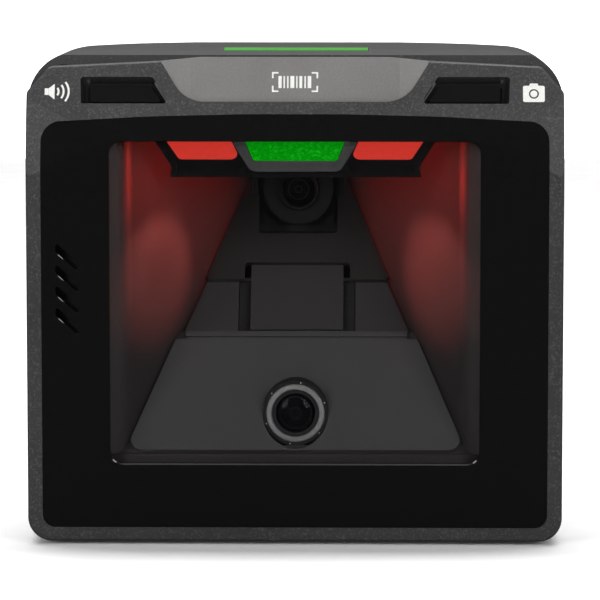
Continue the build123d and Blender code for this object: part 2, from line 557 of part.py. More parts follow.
def light_bar_seat():
    """Rebate and slot in the crown for the light bar."""
    cap = slab(-BAR_HALF_W - GAP, BAR_HALF_W + GAP, BAR_Y0 - GAP, BAR_Y1 + GAP, CROWN_Z - 2 * WALL, FAR)
    seat = cap - housing_form(BAR_LEDGE)
    slot = slab(-STEM_HALF_W - GAP, STEM_HALF_W + GAP, STEM_Y0 - GAP, STEM_Y1 + GAP, STEM_Z, FAR)
    return seat + slot


def top_light_pipe():
    """Clear bar flush in the crown, with a stem that reaches down to its lamps."""
    cap = slab(-BAR_HALF_W, BAR_HALF_W, BAR_Y0, BAR_Y1, STEM_Z, FAR) & housing_form(0.0)
    cap += Pos(0, 0, BAR_PROUD) * cap
    cap -= housing_form(BAR_LEDGE - TOUCH)
    return cap + (slab(-STEM_HALF_W, STEM_HALF_W, STEM_Y0, STEM_Y1, STEM_Z, FAR) & housing_form(0.0))


# ---- base ---------------------------------------------------------------------------
def base_plate():
    plate = plan(base_face(), BASE_Z, BASE_Z + BASE_THICK)
    x, y = INSERT_XY
    for place in both_hands([(x, y), (x, -y)]):
        plate += rod_z(*place, INSERT_BOSS_R, BASE_Z, INSERT_BOSS_TOP)
        plate -= rod_z(*place, INSERT_R, BASE_Z, INSERT_TOP + TOUCH)
    for place in both_hands(FOOT_XY):
        plate -= rod_z(*place, FOOT_R + TOUCH, BASE_Z, BASE_Z + FOOT_SINK)
    for place in both_hands(BASE_SCREW_XY):
        plate -= rod_z(*place, BASE_HEAD_R + GAP, BASE_Z, BASE_Z + BASE_HEAD_THICK)
        plate -= rod_z(*place, BASE_SHANK_R + GAP, BASE_Z, BASE_Z + BASE_THICK)
    return plate


def rubber_feet():
    feet = []
    for x, y in both_hands(FOOT_XY):
        foot = rod_z(x, y, FOOT_R, 0, BASE_Z + FOOT_SINK)
        feet.append(fillet(foot.edges().sort_by(Axis.Z)[0], FOOT_ROUND))
    return feet


def threaded_inserts():
    x, y = INSERT_XY
    sleeves = []
    for place in both_hands([(x, y), (x, -y)]):
        sleeve = rod_z(*place, INSERT_R - TOUCH, BASE_Z, INSERT_TOP)
        sleeves.append(sleeve - rod_z(*place, INSERT_BORE_R, BASE_Z, INSERT_TOP))
    return sleeves


# ---- viewing funnel -----------------------------------------------------------------
def funnel_face(grow=0.0):
    face = symmetric(FUNNEL_PLAN, FUNNEL_ROUNDS)
    return offset(face, grow, kind=Kind.INTERSECTION) if grow else face


def optics_shroud():
    behind_mouth = slab(-FAR, FAR, MOUTH_Y, FAR, -FAR, FAR)
    walls = plan(funnel_face(FUNNEL_WALL), FLANGE_Z0, FUNNEL_TOP) & above_floor(LEDGE_BOTTOM)
    roof = plan(funnel_face(FUNNEL_WALL), FUNNEL_TOP, FUNNEL_TOP + ROOF_THICK)
    flange = slab(-FLANGE_HALF_W, FLANGE_HALF_W, MOUTH_Y, FLANGE_BACK_Y, FLANGE_Z0, FUNNEL_TOP + ROOF_THICK)
    sill = slab(-SILL_HALF_W, SILL_HALF_W, MOUTH_Y, SILL_BACK_Y, FLANGE_Z0, SILL_TOP)
    shroud = (walls + roof + flange) & behind_mouth
    passage = plan(funnel_face(), -FAR, FUNNEL_TOP)
    shroud -= passage & above_floor(LEDGE_TOP)
    step = funnel_floor(LEDGE_LOW) * Pos(0, (MIDDLE_S0 + MIDDLE_S1) / 2, FAR / 2)
    shroud -= passage & (step * Box(FAR, MIDDLE_S1 - MIDDLE_S0 + 2 * GAP, FAR))
    shroud -= plan(funnel_face(-LEDGE), -FAR, FUNNEL_TOP)
    shroud += sill
    for hand in (-1, 1):
        for z in TAB_Z:
            tab = slab(TAB_X0, TAB_X1, TAB_Y0, TAB_Y1, z - TAB_HALF_H, z + TAB_HALF_H)
            tab -= rod_y(TAB_SCREW_X, z, TAB_SCREW_R + GAP, TAB_Y0, TAB_Y1)
            shroud += tab if hand > 0 else mirror(tab, about=Plane.YZ)
    x0, x1, y0, y1 = LAMP_SLOT
    shroud -= slab(x0, x1, y0, y1, FUNNEL_TOP, FAR)
    clear_x = TUNNEL_HALF_W + GAP
    return shroud - slab(-clear_x, clear_x, TUNNEL_FACE_Y - 2 * LEDGE, FAR, TUNNEL_Z0, TUNNEL_Z1 + GAP)


def lower_camera_panel():
    face = rounded(panel(LOWER_W0, LOWER_W1, LOWER_S0, LOWER_S1), [PLATE_CORNER, PLATE_CORNER, 0.3, 0.3])
    plate = on_floor(face, -PLATE, 0) - rod_y(0, CAMERA_Z, CAMERA_HOLE_R, -FAR, FAR)
    rib_s0, rib_s1, rib_top = LAP_RIB
    plate += on_floor(cornered(panel(LAP_HALF_W, LAP_HALF_W, LOWER_S1 - PLATE, LAP_END)), LAP_LOW, LAP_TOP)
    plate += on_floor(cornered(panel(LAP_HALF_W, LAP_HALF_W, rib_s0, rib_s1)), LAP_LOW, rib_top)
    return plate


def middle_panel():
    """Sunken plate with a raised middle block between two dark grooves."""
    face = rounded(panel(MIDDLE_W0, MIDDLE_W1, MIDDLE_S0, MIDDLE_S1), [0.3] * 4)
    plate = on_floor(face, MIDDLE_BOTTOM, MIDDLE_TOP)
    block = rounded(panel(BLOCK_HALF_W, BLOCK_HALF_W, MIDDLE_S0, BLOCK_S1), [0.4, 0.4, 0.8, 0.8])
    plate += on_floor(block, MIDDLE_BOTTOM, BLOCK_TOP)
    plate += on_floor(cornered(panel(BLOCK_HALF_W, BLOCK_HALF_W, BLOCK_S1 - PLATE, TONGUE_S1)),
                      MIDDLE_BOTTOM, TONGUE_TOP)
    groove_low = MIDDLE_TOP - GROOVE_DEPTH
    for hand in (-1, 1):
        inner, outer = hand * BLOCK_HALF_W, hand * (BLOCK_HALF_W + GROOVE_W)
        x0, x1 = sorted((inner - hand * GROOVE_WALL, outer + hand * GROOVE_WALL))
        trough = cornered([(x0, MIDDLE_S0), (x1, MIDDLE_S0), (x1, MIDDLE_S1), (x0, MIDDLE_S1)])
        plate += on_floor(trough, groove_low - GROOVE_WALL, MIDDLE_BOTTOM)
        x0, x1 = sorted((inner, outer))
        groove = cornered([(x0, 0), (x1, 0), (x1, MIDDLE_S1 - GROOVE_WALL), (x0, MIDDLE_S1 - GROOVE_WALL)])
        plate -= on_floor(groove, groove_low, 0)
    return plate


def aperture_tool():
    middle = (APERTURE_Z0 + APERTURE_Z1) / 2
    hole = Pos(0, middle) * RectangleRounded(2 * APERTURE_HALF_W, APERTURE_Z1 - APERTURE_Z0, APERTURE_ROUND)
    return upright(hole, 0, FAR)


def upper_panel():
    face = rounded(panel(UPPER_W0, UPPER_W1, UPPER_S0, UPPER_S1), [0.3] * 4)
    notch = panel(NOTCH_HALF_W, NOTCH_HALF_W, UPPER_S0 - PLATE, NOTCH_S1)
    notch = rounded(notch, [0, 0, NOTCH_ROUND, NOTCH_ROUND])
    return on_floor(face, -PLATE, 0) - on_floor(notch, -PLATE, 0) - aperture_tool()


# ---- scan camera --------------------------------------------------------------------
def scan_tunnel():
    outer = slab(-TUNNEL_HALF_W, TUNNEL_HALF_W, 0, TUNNEL_BACK_Y, TUNNEL_Z0, TUNNEL_Z1)
    inner_w = TUNNEL_HALF_W - TUNNEL_WALL
    inner = slab(-inner_w, inner_w, 0, TUNNEL_BACK_Y, TUNNEL_Z0 + TUNNEL_WALL, TUNNEL_Z1 - TUNNEL_WALL)
    return outer - inner - (above_floor(-PLATE - TOUCH) & slab(-FAR, FAR, -FAR, TUNNEL_FACE_Y, -FAR, FAR))


def scan_lens_mount():
    tube = rod_y(0, SCAN_Z, SCAN_MOUNT_R, SCAN_MOUNT_Y, TUNNEL_BACK_Y)
    half = SCAN_FLANGE_HALF
    tube += slab(-half, half, SCAN_FLANGE_Y, TUNNEL_BACK_Y, SCAN_Z - half, SCAN_Z + half)
    return tube - rod_y(0, SCAN_Z, SCAN_BARREL_R + TOUCH, SCAN_MOUNT_Y, TUNNEL_BACK_Y)


def scan_lens_barrel():
    barrel = rod_y(0, SCAN_Z, SCAN_BARREL_R, SCAN_FRONT_Y, SCAN_BARREL_BACK)
    barrel -= rod_y(0, SCAN_Z, SCAN_BORE_R, SCAN_FRONT_Y, SCAN_BARREL_BACK)
    return chamfer(barrel.faces().sort_by(Axis.Y)[0].edges(), 0.35)


def domed_lens(z, radius, edge_y, back_y, crown):
    """Glass disc along Y whose front bulges by the crown."""
    ball_r = (radius ** 2 + crown ** 2) / (2 * crown)
    ball = Pos(0, edge_y - crown + ball_r, z) * Sphere(ball_r)
    return rod_y(0, z, radius, edge_y - 2 * crown, back_y) & ball


def scan_front_lens():
    return domed_lens(SCAN_Z, SCAN_BORE_R - TOUCH, SCAN_FRONT_Y + 1.9, SCAN_FRONT_Y + 4.0, 1.1)


def scan_imager_board():
    half = SCAN_BOARD_HALF_W
    return slab(-half, half, TUNNEL_BACK_Y, TUNNEL_BACK_Y + SCAN_BOARD_THICK, SCAN_Z - half, SCAN_BOARD_TOP)


def scan_sensor():
    half = SENSOR_HALF
    return slab(-half, half, TUNNEL_BACK_Y - SENSOR_THICK, TUNNEL_BACK_Y, SCAN_Z - half, SCAN_Z + half)


# ---- lower camera -------------------------------------------------------------------
def camera_holder():
    holder = rod_y(0, CAMERA_Z, HOLDER_R, CAMERA_FRONT_Y, BRACKET_Y0)
    holder -= rod_y(0, CAMERA_Z, HOLDER_BORE_R, CAMERA_FRONT_Y, RING_Y1)
    return holder - rod_y(0, CAMERA_Z, BARREL_R + TOUCH, CAMERA_FRONT_Y, BRACKET_Y0)


def camera_trim_ring():
    ring = rod_y(0, CAMERA_Z, RING_R, RING_Y0, RING_Y1) - rod_y(0, CAMERA_Z, RING_BORE_R, RING_Y0, RING_Y1)
    return chamfer(ring.faces().sort_by(Axis.Y)[0].edges(), 0.3)


def camera_lens_barrel():
    barrel = rod_y(0, CAMERA_Z, BARREL_R, BARREL_Y0, BARREL_Y1)
    barrel -= rod_y(0, CAMERA_Z, BARREL_BORE_R, BARREL_Y0, LENS_BACK_Y + TOUCH)
    return barrel - rod_y(0, CAMERA_Z, BARREL_BORE_R / 2, BARREL_Y0, BARREL_Y1)


def camera_front_lens():
    return domed_lens(CAMERA_Z, BARREL_BORE_R - TOUCH, LENS_EDGE_Y, LENS_BACK_Y, LENS_CROWN)


def camera_bracket():
    base_top = BASE_Z + BASE_THICK
    half = BRACKET_HALF_W
    bracket = slab(-half, half, BRACKET_Y0, BRACKET_Y1, base_top, BRACKET_TOP)
    bracket += slab(-half, half, BRACKET_Y0, BRACKET_FOOT_Y, base_top, base_top + BRACKET_FOOT_THICK)
    window = SENSOR_HALF + 1
    return bracket - slab(-window, window, BRACKET_Y0, BRACKET_Y1, CAMERA_Z - window, CAMERA_Z + window)


def camera_board():
    w, h = CAMERA_BOARD_HALF_W, CAMERA_BOARD_HALF_H
    return slab(-w, w, BRACKET_Y1, BRACKET_Y1 + CAMERA_BOARD_THICK, CAMERA_Z - h, CAMERA_Z + h)


def camera_sensor():
    half = SENSOR_HALF
    return slab(-half, half, BRACKET_Y1 - SENSOR_THICK, BRACKET_Y1, CAMERA_Z - half, CAMERA_Z + half)


# ---- lamps --------------------------------------------------------------------------
def lamp_face(hand, grow=0.0):
    points, radii = (LAMP_SIDE, LAMP_ROUNDS) if hand > 0 else (flipped(LAMP_SIDE), LAMP_ROUNDS[::-1])
    face = rounded(points, radii)
    return offset(face, grow) if grow else face


def hood_room():
    """Space the hood may fill: under the roof and behind the gasket."""
    return slab(-FAR, FAR, HOOD_FRONT_Y, FAR, -FAR, HOOD_TOP)


def led_hood():
    face = symmetric(HOOD_SIDE, HOOD_ROUNDS)
    hood = on_hood(face, 0, HOOD_DEEP) + on_hood(cornered(LEDGE_STRIP), -LEDGE_STRIP_PROUD, HOOD_WALL)
    tall_side = [(x - HOOD_WALL, y) for x, y in HOOD_SIDE]
    tall_side[0] = (tall_side[0][0], HOOD_SIDE[0][1] + HOOD_WALL)
    tall_side[-1] = (tall_side[-1][0], FAR)
    hood -= on_hood(symmetric(tall_side, [0.0] * len(tall_side)), HOOD_FACE, HOOD_DEEP - HOOD_WALL)
    for hand in (-1, 1):
        hood -= on_hood(lamp_face(hand, TOUCH), -1, HOOD_FACE)
        trough, radii = (TROUGH, TROUGH_ROUNDS) if hand > 0 else (flipped(TROUGH), TROUGH_ROUNDS[::-1])
        hood -= on_hood(rounded(trough, radii), -1, TROUGH_DEPTH)
    hood -= on_hood(symmetric(GREEN_SIDE, GREEN_ROUNDS), -1, HOOD_FACE)
    return hood & hood_room()


def red_diffuser(hand):
    return on_hood(lamp_face(hand), -LAMP_PROUD, LAMP_THICK - LAMP_PROUD) & hood_room()


def indicator_bezel():
    rim = on_hood(symmetric(SIGNAL_SIDE, SIGNAL_ROUNDS), -SIGNAL_PROUD, -TOUCH) & hood_room()
    return rim - on_hood(offset(symmetric(GREEN_SIDE, GREEN_ROUNDS), TOUCH), -2 * SIGNAL_PROUD, 0)


def green_indicator_lens():
    near = GREEN_SINK - SIGNAL_PROUD
    face = offset(symmetric(GREEN_SIDE, GREEN_ROUNDS), -TOUCH)
    return on_hood(face, near, near + GREEN_THICK) & hood_room()


def led_board():
    x0, x1, y0, y1 = LAMP_BOARD
    bottom = FUNNEL_TOP + ROOF_THICK
    return slab(x0, x1, y0, y1, bottom, bottom + LAMP_BOARD_THICK)


def leds(places):
    top = FUNNEL_TOP + ROOF_THICK
    return [slab(x - LED_HALF, x + LED_HALF, LED_Y - LED_HALF, LED_Y + LED_HALF, top - LED_TALL, top)
            for x in places]


def top_led_board():
    half_w, bottom = TOP_BOARD_HALF_W, TOP_BOARD_Z
    return slab(-half_w, half_w, TOP_BOARD_Y0, TOP_BOARD_Y1, bottom, bottom + PLATE)


def top_leds():
    top = TOP_BOARD_Z + PLATE
    middle = (STEM_Y0 + STEM_Y1) / 2
    return [slab(x - LED_HALF, x + LED_HALF, middle - LED_HALF, middle + LED_HALF, top, top + LED_TALL)
            for x in (-12.0, -4.0, 4.0, 12.0)]


# ---- buttons ------------------------------------------------------------------------
def cap_face(hand, grow=0.0):
    points, radii = (CAP_SIDE, CAP_ROUNDS) if hand < 0 else (flipped(CAP_SIDE), CAP_ROUNDS[::-1])
    face = rounded(points, radii)
    return offset(face, grow) if grow else face


def push_button(hand):
    """Bar-shaped cap, its retaining flange behind the bezel and the stem to the switch."""
    cap = on_forehead(cap_face(hand), CAP_TOP, CAP_BACK + FLANGE_THICK)
    front = [edge for edge in cap.edges() if edge.center().Y < FRONT_Y + BEZEL_DEPTH and
             abs(forehead(CAP_TOP).to_local_coords(edge.center()).Z) < TOUCH]
    cap = chamfer(front, CAP_BEVEL)
    cap += on_forehead(cap_face(hand, FLANGE_GROW), CAP_BACK, CAP_BACK + FLANGE_THICK)
    stem = Pos(-hand * BUTTON_X, BUTTON_V) * Circle(STEM_R)
    return cap + on_forehead(stem, CAP_BACK, STEM_END)


def switch_plunger(hand):
    return on_forehead(Pos(-hand * BUTTON_X, BUTTON_V) * Circle(PLUNGER_R), STEM_END, PLUNGER_END)


def button_board(hand):
    x0, x1, v0, v1 = BUTTON_BOARD
    middle = Pos(-hand * (x0 + x1) / 2, (v0 + v1) / 2)
    board = on_forehead(middle * Rectangle(x1 - x0, v1 - v0), BOARD_FRONT, BOARD_BACK)
    for x in BUTTON_POSTS_X:
        pilot = Pos(-hand * x, BUTTON_POST_V) * Circle(BUTTON_POST_R / 2)
        board -= on_forehead(pilot, BOARD_FRONT, BOARD_BACK)
    return board


def button_switches():
    bodies = []
    for hand in (-1, 1):
        place = Pos(-hand * BUTTON_X, BUTTON_V)
        face = place * RectangleRounded(SWITCH_SIZE, SWITCH_SIZE, 0.5)
        body = on_forehead(face, SWITCH_FRONT, BOARD_FRONT)
        bodies.append(body - on_forehead(place * Circle(SWITCH_BORE_R), SWITCH_FRONT, SWITCH_BORE_END))
    return bodies


# ---- electronics --------------------------------------------------------------------
def main_board():
    board = slab(-MAIN_HALF_W, MAIN_HALF_W, MAIN_Y0, MAIN_Y1, MAIN_Z0, MAIN_Z1)
    for x, z in both_hands([(STANDOFF_X, z) for z in STANDOFF_Z]):
        board -= rod_y(x, z, BOARD_SCREW_R + TOUCH, MAIN_Y0, MAIN_Y1)
    return board


def processor_shield():
    x0, x1, y0, y1, z0, z1 = SHIELD
    can = slab(x0, x1, y0, y1, z0, z1)
    t = SHIELD_WALL
    return can - slab(x0 + t, x1 - t, y0 + t, y1, z0 + t, z1 - t)


def jack(x0, x1):
    """Modular jack with its socket and latch slot open to the rear."""
    middle = (x0 + x1) / 2
    body = slab(x0, x1, MAIN_Y1, PORT_FACE_Y, JACK_Z0, JACK_Z1)
    half = min(JACK_SOCKET_HALF_W, (x1 - x0) / 2 - 1)
    body -= slab(middle - half, middle + half, JACK_SOCKET_Y, PORT_FACE_Y, JACK_SOCKET_Z0, JACK_SOCKET_Z1)
    x0, x1 = middle - LATCH_HALF_W, middle + LATCH_HALF_W
    return body - slab(x0, x1, JACK_SOCKET_Y, PORT_FACE_Y, LATCH_Z, JACK_SOCKET_Z0)


def usb_port():
    x0, x1, z0, z1 = USB
    w = USB_WALL
    shell = slab(x0, x1, MAIN_Y1, PORT_FACE_Y, z0, z1)
    shell -= slab(x0 + w, x1 - w, USB_SOCKET_Y, PORT_FACE_Y, z0 + w, z1 - w)
    tongue_x, tongue_z = 3 * w, z1 - w - 1.1
    x0, x1 = x0 + tongue_x, x1 - tongue_x
    return shell + slab(x0, x1, MAIN_Y1, PORT_FACE_Y - 1, tongue_z - USB_TONGUE, tongue_z)


def power_jack():
    x0, x1, z0, z1 = POWER
    middle_x, middle_z = (x0 + x1) / 2, (z0 + z1) / 2
    body = slab(x0, x1, MAIN_Y1, PORT_FACE_Y, z0, z1)
    body -= rod_y(middle_x, middle_z, POWER_BORE_R, USB_SOCKET_Y, PORT_FACE_Y)
    return body + rod_y(middle_x, middle_z, POWER_PIN_R, MAIN_Y1, PORT_FACE_Y - 1)


def ribbon(path, x0, x1):
    """Flat cable that follows a path in the side view."""
    middle = FilletPolyline(*path, radius=RIBBON_BEND)
    strip = offset(middle, RIBBON / 2, side=Side.BOTH)
    return side(make_face(strip), x0, x1)


# ---- loudspeaker --------------------------------------------------------------------
def speaker_opening(y0, y1):
    x0, x1, z0, z1 = SPEAKER_APERTURE
    return slab(x0, x1, y0, y1, z0, z1)


def speaker_box(y0, y1):
    x0, x1, z0, z1 = SPEAKER
    return slab(x0, x1, y0, y1, z0, z1)


def speaker_frame():
    x0, x1, z0, z1 = SPEAKER
    basket = speaker_box(SPEAKER_Y, SPEAKER_BACK_Y)
    rim = SPEAKER_RIM
    basket -= slab(x0 + rim, x1 - rim, SPEAKER_Y, SPEAKER_BACK_Y - rim, z0 + rim, z1 - rim)
    return basket - rod_y((x0 + x1) / 2, (z0 + z1) / 2, MAGNET_R + TOUCH, SPEAKER_Y, SPEAKER_BACK_Y)


def speaker_cone():
    x0, x1, z0, z1 = SPEAKER
    inset = SPEAKER_RIM + TOUCH
    face = Pos((x0 + x1) / 2, (z0 + z1) / 2) * RectangleRounded(x1 - x0 - 2 * inset, z1 - z0 - 2 * inset, 3)
    return upright(face, CONE_Y, CONE_Y + 0.8)


def speaker_magnet():
    x0, x1, z0, z1 = SPEAKER
    return rod_y((x0 + x1) / 2, (z0 + z1) / 2, MAGNET_R, CONE_Y + 2.4, MAGNET_BACK_Y)


# ---- fasteners ----------------------------------------------------------------------
def housing_screws():
    return [screw_y(x, z, WELL_SEAT, HEAD_THICK, HEAD_R, LONG_SCREW_TIP, LONG_SCREW_R)
            for x, z in both_hands(WELL_XZ)]


def shroud_screws():
    return [screw_y(x, z, TAB_Y1, TAB_HEAD_THICK, TAB_HEAD_R, TAB_SCREW_TIP, TAB_SCREW_R - TOUCH)
            for x, z in both_hands([(TAB_SCREW_X, z) for z in TAB_Z])]


def board_screws():
    return [screw_y(x, z, MAIN_Y0 - BOARD_HEAD_THICK, BOARD_HEAD_THICK, BOARD_HEAD_R, BOARD_SCREW_END,
                    BOARD_SCREW_R - TOUCH)
            for x, z in both_hands([(STANDOFF_X, z) for z in STANDOFF_Z])]


def base_screws():
    screws = []
    for x, y in both_hands(BASE_SCREW_XY):
        head = rod_z(x, y, BASE_HEAD_R, BASE_Z + TOUCH, BASE_Z + BASE_HEAD_THICK)
        head += rod_z(x, y, BASE_SHANK_R - TOUCH, BASE_Z + BASE_HEAD_THICK, BASE_SCREW_TOP)
        screws.append(head - plan(Pos(x, y) * RegularPolygon(BASE_HEAD_R * 0.45, 6), BASE_Z, BASE_Z + 0.8))
    return screws


# ---- write every sub-part -----------------------------------------------------------
def write(name, shape):
    pieces = shape if isinstance(shape, list) else [shape]
    solids = [solid for piece in pieces for solid in piece.solids()]
    export_step(solids[0] if len(solids) == 1 else Compound(children=solids), f"parts/{name}.step")


def main():
    os.makedirs("parts", exist_ok=True)
    foam_back = SPEAKER_Y
    write("front_bezel", front_bezel())
    write("gloss_panel", gloss_panel())
    write("exit_window", exit_window())
    write("window_gasket", window_gasket())
    write("badge_plate", badge_plate())
    write("rear_housing", rear_housing())
    write("top_light_pipe", top_light_pipe())
    write("base_plate", base_plate())
    write("rubber_feet", rubber_feet())
    write("threaded_inserts", threaded_inserts())
    write("optics_shroud", optics_shroud())
    write("lower_camera_panel", lower_camera_panel())
    write("middle_panel", middle_panel())
    write("upper_panel", upper_panel())
    write("scan_tunnel", scan_tunnel())
    write("scan_lens_mount", scan_lens_mount())
    write("scan_lens_barrel", scan_lens_barrel())
    write("scan_front_lens", scan_front_lens())
    write("scan_imager_board", scan_imager_board())
    write("scan_sensor", scan_sensor())
    write("camera_holder", camera_holder())
    write("camera_trim_ring", camera_trim_ring())
    write("camera_lens_barrel", camera_lens_barrel())
    write("camera_front_lens", camera_front_lens())
    write("camera_bracket", camera_bracket())
    write("camera_board", camera_board())
    write("camera_sensor", camera_sensor())
    write("led_hood", led_hood())
    write("left_red_diffuser", red_diffuser(-1))
    write("right_red_diffuser", red_diffuser(1))
    write("indicator_bezel", indicator_bezel())
    write("green_indicator_lens", green_indicator_lens())
    write("led_board", led_board())
    write("red_leds", leds([hand * x for x in RED_LED_X for hand in (-1, 1)]))
    write("green_leds", leds(GREEN_LED_X) + top_leds())
    write("top_led_board", top_led_board())
    for name, hand in (("volume", -1), ("camera", 1)):
        write(f"{name}_button", push_button(hand))
        write(f"{name}_switch_plunger", switch_plunger(hand))
    write("button_boards", [button_board(-1), button_board(1)])
    write("button_switches", button_switches())
    write("main_board", main_board())
    write("processor_shield", processor_shield())
    write("host_port", jack(HOST_X0, HOST_X1))
    write("eas_port", jack(EAS_X0, EAS_X1))
    write("usb_port", usb_port())
    write("power_jack", power_jack())
    write("imager_flex", ribbon(IMAGER_RIBBON, -5.0, 5.0))
    write("camera_flex", ribbon(CAMERA_RIBBON, -24.0, -16.0))
    write("led_flex", ribbon(LAMP_RIBBON, -33.0, -27.0))
    write("speaker_cloth", speaker_box(CLOTH_Y, FOAM_Y))
    write("speaker_gasket", speaker_box(FOAM_Y, foam_back) - speaker_opening(FOAM_Y, foam_back))
    write("speaker_frame", speaker_frame())
    write("speaker_cone", speaker_cone())
    write("speaker_magnet", speaker_magnet())
    write("housing_screws", housing_screws())
    write("shroud_screws", shroud_screws())
    write("board_screws", board_screws())
    write("base_screws", base_screws())


main()
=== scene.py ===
from math import atan, copysign, cos, pi, radians, sin

import bmesh
import bpy
from mathutils import Matrix, Vector


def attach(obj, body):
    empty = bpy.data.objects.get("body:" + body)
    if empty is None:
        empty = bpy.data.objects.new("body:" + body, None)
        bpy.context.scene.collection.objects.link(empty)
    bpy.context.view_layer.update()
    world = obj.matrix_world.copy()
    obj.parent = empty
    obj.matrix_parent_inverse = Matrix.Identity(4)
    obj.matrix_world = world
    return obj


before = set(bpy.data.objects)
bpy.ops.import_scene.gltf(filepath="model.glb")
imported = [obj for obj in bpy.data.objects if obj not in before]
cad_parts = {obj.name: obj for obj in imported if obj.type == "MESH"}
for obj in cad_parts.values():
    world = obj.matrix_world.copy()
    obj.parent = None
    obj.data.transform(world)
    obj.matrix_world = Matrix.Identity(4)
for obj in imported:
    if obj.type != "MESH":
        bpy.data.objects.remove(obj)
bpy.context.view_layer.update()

MM = 0.001


# ---- Front bezel ---------------------------------------------------------------------
# The bezel is the charcoal ABS frame that carries the whole front. Its tool is spark
# eroded, so the skin has a fine even grain with a few bright flecks where facets of the
# grain catch the light.
def grain_group():
    """Masks that every moulded, cast or rolled finish here shares."""
    group = bpy.data.node_groups.new("skin grain", "ShaderNodeTree")
    for name, value in (("Grain Scale", 2500.0), ("Cloud Scale", 60.0), ("Fleck Share", 0.3)):
        socket = group.interface.new_socket(name, in_out="INPUT", socket_type="NodeSocketFloat")
        socket.default_value = value
    for name in ("Grain", "Cloud", "Fleck"):
        group.interface.new_socket(name, in_out="OUTPUT", socket_type="NodeSocketFloat")
    nodes, links = group.nodes, group.links
    entry, leave = nodes.new("NodeGroupInput"), nodes.new("NodeGroupOutput")
    place = nodes.new("ShaderNodeTexCoord")
    grain, cloud = nodes.new("ShaderNodeTexNoise"), nodes.new("ShaderNodeTexNoise")
    fleck = nodes.new("ShaderNodeTexVoronoi")
    grain.inputs["Detail"].default_value = 2.0
    cloud.inputs["Detail"].default_value = 4.0
    for texture, scale in ((grain, "Grain Scale"), (cloud, "Cloud Scale"), (fleck, "Grain Scale")):
        links.new(place.outputs["Object"], texture.inputs["Vector"])
        links.new(entry.outputs[scale], texture.inputs["Scale"])
    pick = nodes.new("ShaderNodeSeparateColor")
    links.new(fleck.outputs["Color"], pick.inputs["Color"])
    few = nodes.new("ShaderNodeMapRange")
    few.inputs["From Max"].default_value = 1.0
    keep = nodes.new("ShaderNodeMath")
    keep.operation = "SUBTRACT"
    keep.inputs[0].default_value = 1.0
    links.new(entry.outputs["Fleck Share"], keep.inputs[1])
    links.new(keep.outputs[0], few.inputs["From Min"])
    links.new(pick.outputs["Red"], few.inputs["Value"])
    links.new(grain.outputs["Fac"], leave.inputs["Grain"])
    links.new(cloud.outputs["Fac"], leave.inputs["Cloud"])
    links.new(few.outputs["Result"], leave.inputs["Fleck"])
    return group


SKIN_GRAIN = grain_group()


def mix_colours(material, factor, first, second):
    """A colour that runs from first to second as the factor runs from 0 to 1."""
    mix = material.node_tree.nodes.new("ShaderNodeMix")
    mix.data_type = "RGBA"
    links = material.node_tree.links
    links.new(factor, mix.inputs["Factor"])
    for socket, colour in (("A", first), ("B", second)):
        if isinstance(colour, tuple):
            mix.inputs[socket].default_value = (*colour, 1.0)
        else:
            links.new(colour, mix.inputs[socket])
    # the colour sockets of a Mix node share their names with its float and vector ones
    return mix.outputs[2]


def spread(material, value, low, high, start=0.3, end=0.7):
    """A mask stretched from its own range to the range low to high."""
    stretch = material.node_tree.nodes.new("ShaderNodeMapRange")
    for name, number in (("From Min", start), ("From Max", end), ("To Min", low), ("To Max", high)):
        stretch.inputs[name].default_value = number
    material.node_tree.links.new(value, stretch.inputs["Value"])
    return stretch.outputs["Result"]


def finish(name, dark, light, rough, grain_scale=2500.0, cloud_scale=60.0, fleck=0.0,
           fleck_colour=(0.3, 0.3, 0.3), bump=0.1, grain_depth=0.03 * MM, **sockets):
    """A finish whose tone, gloss and relief vary with the grain. Even values are keywords."""
    material = bpy.data.materials.new(name)
    material.use_nodes = True
    nodes, links = material.node_tree.nodes, material.node_tree.links
    shader = nodes["Principled BSDF"]
    skin = nodes.new("ShaderNodeGroup")
    skin.node_tree = SKIN_GRAIN
    skin.inputs["Grain Scale"].default_value = grain_scale
    skin.inputs["Cloud Scale"].default_value = cloud_scale
    skin.inputs["Fleck Share"].default_value = max(fleck, 0.001)
    tone = mix_colours(material, spread(material, skin.outputs["Grain"], 0.0, 1.0), dark, light)
    if fleck:
        tone = mix_colours(material, skin.outputs["Fleck"], tone, fleck_colour)
    links.new(tone, shader.inputs["Base Color"])
    links.new(spread(material, skin.outputs["Cloud"], *rough), shader.inputs["Roughness"])
    relief = nodes.new("ShaderNodeBump")
    relief.inputs["Strength"].default_value = bump
    relief.inputs["Distance"].default_value = grain_depth
    links.new(skin.outputs["Grain"], relief.inputs["Height"])
    links.new(relief.outputs["Normal"], shader.inputs["Normal"])
    for socket, value in sockets.items():
        shader.inputs[socket.replace("_", " ")].default_value = value
    return material


def coat(material, *node_names):
    """Give CAD nodes a finish."""
    for node_name in node_names:
        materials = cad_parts[node_name].data.materials
        materials.clear()
        materials.append(material)


MOULD_GRAIN = 2600.0                      # the same spark erosion on every textured moulding
bezel_charcoal = finish("spark eroded charcoal", (0.012, 0.012, 0.0125), (0.036, 0.035, 0.036), (0.40, 0.55),
                        grain_scale=MOULD_GRAIN, fleck=0.25, fleck_colour=(0.062, 0.062, 0.064), bump=0.6)

LEAN = radians(20.0)                      # the forehead leans back above this kink
kink = Vector((0.0, -40.0, 112.7)) * MM
up_slope = Vector((0.0, sin(LEAN), cos(LEAN)))
into_slope = Vector((0.0, cos(LEAN), -sin(LEAN)))
SLOPE = Matrix.Translation(kink) @ Matrix((Vector((1, 0, 0)), up_slope, -into_slope)).transposed().to_4x4()


